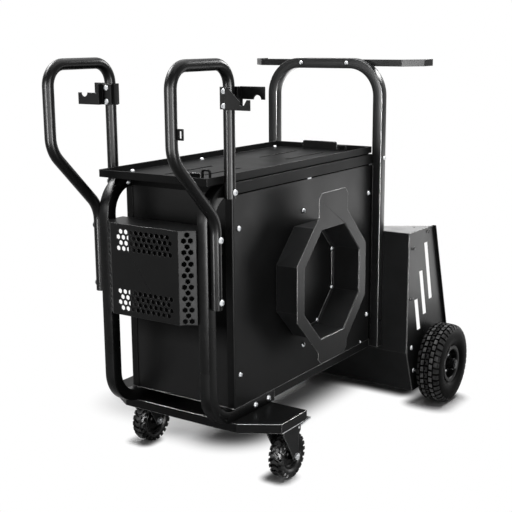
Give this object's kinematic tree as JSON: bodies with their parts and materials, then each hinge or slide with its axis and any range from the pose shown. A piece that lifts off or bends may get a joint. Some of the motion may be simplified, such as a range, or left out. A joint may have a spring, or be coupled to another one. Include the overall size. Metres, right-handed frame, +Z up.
{
  "type": "welding cart",
  "caption": "Black sheet-steel welding cart with a machine tray, bent tube handles, perforated front guard, octagonal cable spool and a rear gas cylinder bay on wheels and castors.",
  "frame": {"origin": "on the floor, under the middle of the cart's bounding box", "axes": "+X to the right side, where the cable spool is; +Y to the rear, where the cylinder bay is; +Z up"},
  "size_m": [0.7694, 1.3392, 1.0944],
  "materials": {
    "sheet_paint": "satin black powder coat",
    "tube_paint": "satin black powder coat",
    "zinc": "bright zinc plate",
    "tyre": "matte rubber",
    "wheel_centre": "black paint"
  },
  "bodies": {
    "cart": {"bay_gusset_left": "sheet_paint", "bay_gusset_right": "sheet_paint", "bay_side_left": "sheet_paint", "bay_side_right": "sheet_paint", "bay_wall": "sheet_paint", "castor_beam": "sheet_paint", "castor_plate_left": "zinc", "castor_plate_right": "zinc", "chassis_pan": "sheet_paint", "cylinder_bar": "tube_paint", "frame_tube_left": "tube_paint", "frame_tube_right": "tube_paint", "front_panel": "sheet_paint", "guard": "sheet_paint", "handle_bolt_left_low": "zinc", "handle_bolt_left_middle": "zinc", "handle_bolt_left_top": "zinc", "handle_bolt_right_low": "zinc", "handle_bolt_right_middle": "zinc", "handle_bolt_right_top": "zinc", "handle_left": "tube_paint", "handle_lug": "sheet_paint", "handle_right": "tube_paint", "rear_hoop": "tube_paint", "rear_panel": "sheet_paint", "run_bolt_left_front": "zinc", "run_bolt_left_rear": "zinc", "run_bolt_right_front": "zinc", "run_bolt_right_rear": "zinc", "side_panel_left": "sheet_paint", "side_panel_right": "sheet_paint", "spool_drum": "sheet_paint", "spool_ring": "sheet_paint", "stub_axle_left": "zinc", "stub_axle_right": "zinc", "tie_loop_front": "sheet_paint", "tie_loop_rear": "sheet_paint", "top_skirt": "sheet_paint", "top_tray": "sheet_paint", "torch_hook_front_left": "sheet_paint", "torch_hook_front_right": "sheet_paint", "torch_hook_rear_left": "sheet_paint", "torch_hook_rear_right": "sheet_paint", "tray_stop_front": "sheet_paint", "tray_stop_rear": "sheet_paint"},
    "castor_left": {"castor_fork_left": "sheet_paint", "castor_axle_left": "zinc"},
    "castor_wheel_left": {"castor_hub_left": "wheel_centre", "castor_tyre_left": "tyre"},
    "brake_left": {"brake_pedal_left": "zinc"},
    "wheel_left": {"rear_rim_left": "wheel_centre", "rear_tyre_left": "tyre"},
    "castor_right": {"castor_fork_right": "sheet_paint", "castor_axle_right": "zinc"},
    "castor_wheel_right": {"castor_hub_right": "wheel_centre", "castor_tyre_right": "tyre"},
    "brake_right": {"brake_pedal_right": "zinc"},
    "wheel_right": {"rear_rim_right": "wheel_centre", "rear_tyre_right": "tyre"}
  },
  "joints": [
    {"name": "castor_swivel_left", "type": "hinge", "parent": "cart", "child": "castor_left", "pos_m": [-0.232, -0.30555, 0.15], "axis": [0, 0, 1], "continuous": true},
    {"name": "castor_roll_left", "type": "hinge", "parent": "castor_left", "child": "castor_wheel_left", "pos_m": [-0.232, -0.26355, 0.0625], "axis": [1, 0, 0], "continuous": true},
    {"name": "brake_pivot_left", "type": "hinge", "parent": "castor_left", "child": "brake_left", "pos_m": [-0.232, -0.24755, 0.138], "axis": [1, 0, 0], "range_deg": [-8, 0]},
    {"name": "wheel_roll_left", "type": "hinge", "parent": "cart", "child": "wheel_left", "pos_m": [-0.3365, 0.49555, 0.125], "axis": [1, 0, 0], "continuous": true},
    {"name": "castor_swivel_right", "type": "hinge", "parent": "cart", "child": "castor_right", "pos_m": [0.232, -0.30555, 0.15], "axis": [0, 0, 1], "continuous": true},
    {"name": "castor_roll_right", "type": "hinge", "parent": "castor_right", "child": "castor_wheel_right", "pos_m": [0.232, -0.26355, 0.0625], "axis": [1, 0, 0], "continuous": true},
    {"name": "brake_pivot_right", "type": "hinge", "parent": "castor_right", "child": "brake_right", "pos_m": [0.232, -0.24755, 0.138], "axis": [1, 0, 0], "range_deg": [-8, 0]},
    {"name": "wheel_roll_right", "type": "hinge", "parent": "cart", "child": "wheel_right", "pos_m": [0.3365, 0.49555, 0.125], "axis": [1, 0, 0], "continuous": true}
  ]
}
